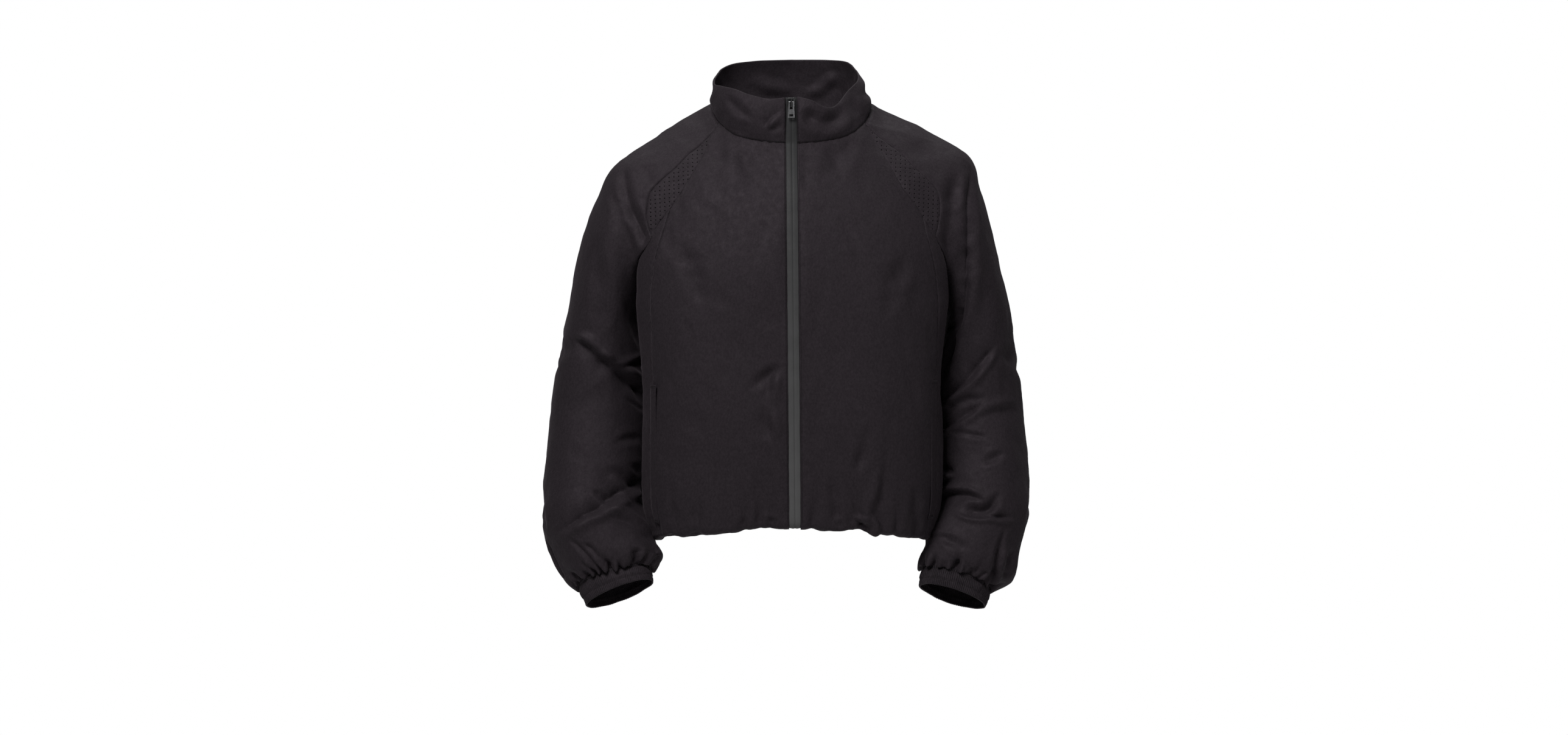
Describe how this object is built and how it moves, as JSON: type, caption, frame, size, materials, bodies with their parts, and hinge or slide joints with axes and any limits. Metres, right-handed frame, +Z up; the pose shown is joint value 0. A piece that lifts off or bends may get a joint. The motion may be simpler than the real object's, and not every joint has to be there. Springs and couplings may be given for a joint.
{
  "type": "windbreaker",
  "caption": "Cropped zip-front windbreaker in its worn form: stand collar, raglan sleeves with perforated inserts, welt pockets, bloused elastic hem and shirred cuffs.",
  "frame": {"origin": "middle of the neck base, where the wearer's neck and shoulders hold the garment up", "axes": "-Y out of the front of the garment, +X to the viewer's right, +Z up"},
  "size_m": [0.6552, 0.3009, 0.7431],
  "materials": {
    "nylon": "matte black crinkle nylon, plain weave, with a faint soft sheen",
    "shirring": "matte black nylon gathered in fine upright ribs over elastic",
    "laminated_tape": "satin grey laminated film",
    "black_enamel": "gloss black enamel",
    "gunmetal": "satin gunmetal plating"
  },
  "bodies": {
    "garment": {"front_left": "nylon", "front_right": "nylon", "side_front_left": "nylon", "side_front_right": "nylon", "back": "nylon", "sleeve_left": "nylon", "sleeve_right": "nylon", "insert_left": "nylon", "insert_right": "nylon", "collar": "nylon", "cuff_left": "shirring", "cuff_right": "shirring", "hem_casing": "nylon", "pocket_welt_left": "nylon", "pocket_welt_right": "nylon", "zip_tape_left": "laminated_tape", "zip_tape_right": "laminated_tape", "zip_slider": "black_enamel"},
    "pull_tab": {"zip_pull_tab": "gunmetal"}
  },
  "joints": [
    {"name": "pull_tab_hinge", "type": "hinge", "parent": "garment", "child": "pull_tab", "pos_m": [-0.00094, -0.0962, 0.0265], "axis": [-1, 0, 0], "range_deg": [0, 170]}
  ]
}
